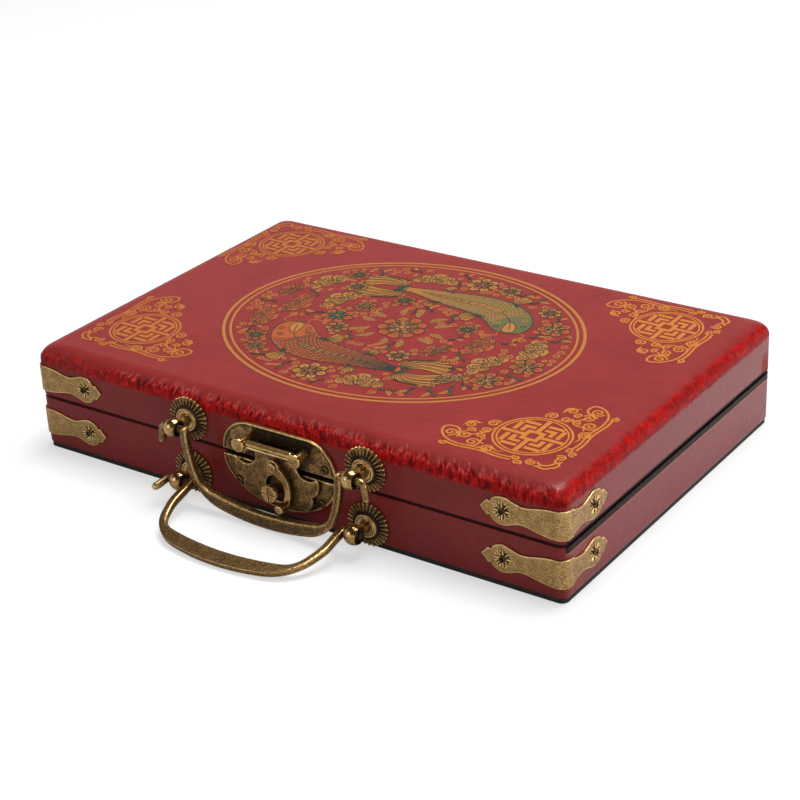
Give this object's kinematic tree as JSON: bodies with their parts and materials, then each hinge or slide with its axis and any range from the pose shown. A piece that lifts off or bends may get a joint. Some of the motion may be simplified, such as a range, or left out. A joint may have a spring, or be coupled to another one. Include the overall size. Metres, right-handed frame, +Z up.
{
  "type": "mahjong case",
  "caption": "Flat two-part carrying case for a small mahjong set, in red leather with a gold printed lid, antique brass hasp lock, bail handles and corner brackets.",
  "frame": {"origin": "middle of the case's underside", "axes": "+X along the front edge to the right, -Y towards the lock and handles, +Z up through the lid"},
  "size_m": [0.2198, 0.1844, 0.04],
  "materials": {
    "red_leather": "fine grained, semi-gloss",
    "black_binding": "matt",
    "board": "raw fibreboard",
    "velvet_lining": "flocked",
    "antique_brass": "aged, dark in the hollows",
    "hinge_brass": "aged"
  },
  "bodies": {
    "base": {"base_back_board": "board", "base_bottom_board": "board", "base_bottom_cover": "black_binding", "base_corner_left": "antique_brass", "base_corner_nails": "antique_brass", "base_corner_right": "antique_brass", "base_eye_left": "antique_brass", "base_eye_right": "antique_brass", "base_front_board": "board", "base_leather": "red_leather", "base_left_board": "board", "base_lining_floor": "velvet_lining", "base_lining_walls": "velvet_lining", "base_lock_nails": "antique_brass", "base_lock_plate": "antique_brass", "base_right_board": "board", "base_rim_binding": "black_binding", "base_rosette_left": "antique_brass", "base_rosette_right": "antique_brass", "hinge_base_leaf_left": "hinge_brass", "hinge_base_leaf_right": "hinge_brass", "hinge_base_nails": "hinge_brass", "hinge_pin_left": "hinge_brass", "hinge_pin_right": "hinge_brass", "latch_stud": "antique_brass"},
    "lid": {"hasp_pin": "antique_brass", "hasp_post_left": "antique_brass", "hasp_post_right": "antique_brass", "hinge_lid_leaf_left": "hinge_brass", "hinge_lid_leaf_right": "hinge_brass", "hinge_lid_nails": "hinge_brass", "lid_back_board": "board", "lid_corner_left": "antique_brass", "lid_corner_nails": "antique_brass", "lid_corner_right": "antique_brass", "lid_eye_left": "antique_brass", "lid_eye_right": "antique_brass", "lid_front_board": "board", "lid_leather": "red_leather", "lid_left_board": "board", "lid_lining_panel": "velvet_lining", "lid_lining_walls": "velvet_lining", "lid_lock_nails": "antique_brass", "lid_lock_plate": "antique_brass", "lid_right_board": "board", "lid_rim_binding": "black_binding", "lid_rosette_left": "antique_brass", "lid_rosette_right": "antique_brass", "lid_top_board": "board"},
    "lid_handle": {"lid_handle": "antique_brass"},
    "base_handle": {"base_handle": "antique_brass"},
    "hasp": {"hasp_plate": "antique_brass", "hasp_rivet": "antique_brass"},
    "lever": {"latch_lever": "antique_brass"}
  },
  "joints": [
    {"name": "lid_hinge", "type": "hinge", "parent": "base", "child": "lid", "pos_m": [0, 0.0743, 0.0205], "axis": [-1, 0, 0], "range_deg": [0, 180]},
    {"name": "lid_handle_swing", "type": "hinge", "parent": "lid", "child": "lid_handle", "pos_m": [-0.0015, -0.081, 0.0285], "axis": [-1, 0, 0], "range_deg": [0, 210]},
    {"name": "base_handle_swing", "type": "hinge", "parent": "base", "child": "base_handle", "pos_m": [-0.0015, -0.081, 0.0083], "axis": [-1, 0, 0], "range_deg": [0, 60]},
    {"name": "hasp_swing", "type": "hinge", "parent": "lid", "child": "hasp", "pos_m": [0, -0.0778, 0.0282], "axis": [-1, 0, 0], "range_deg": [0, 150]},
    {"name": "lever_swing", "type": "hinge", "parent": "hasp", "child": "lever", "pos_m": [0.0003, -0.0771, 0.022], "axis": [0, -1, 0], "range_deg": [-13, 50]}
  ]
}
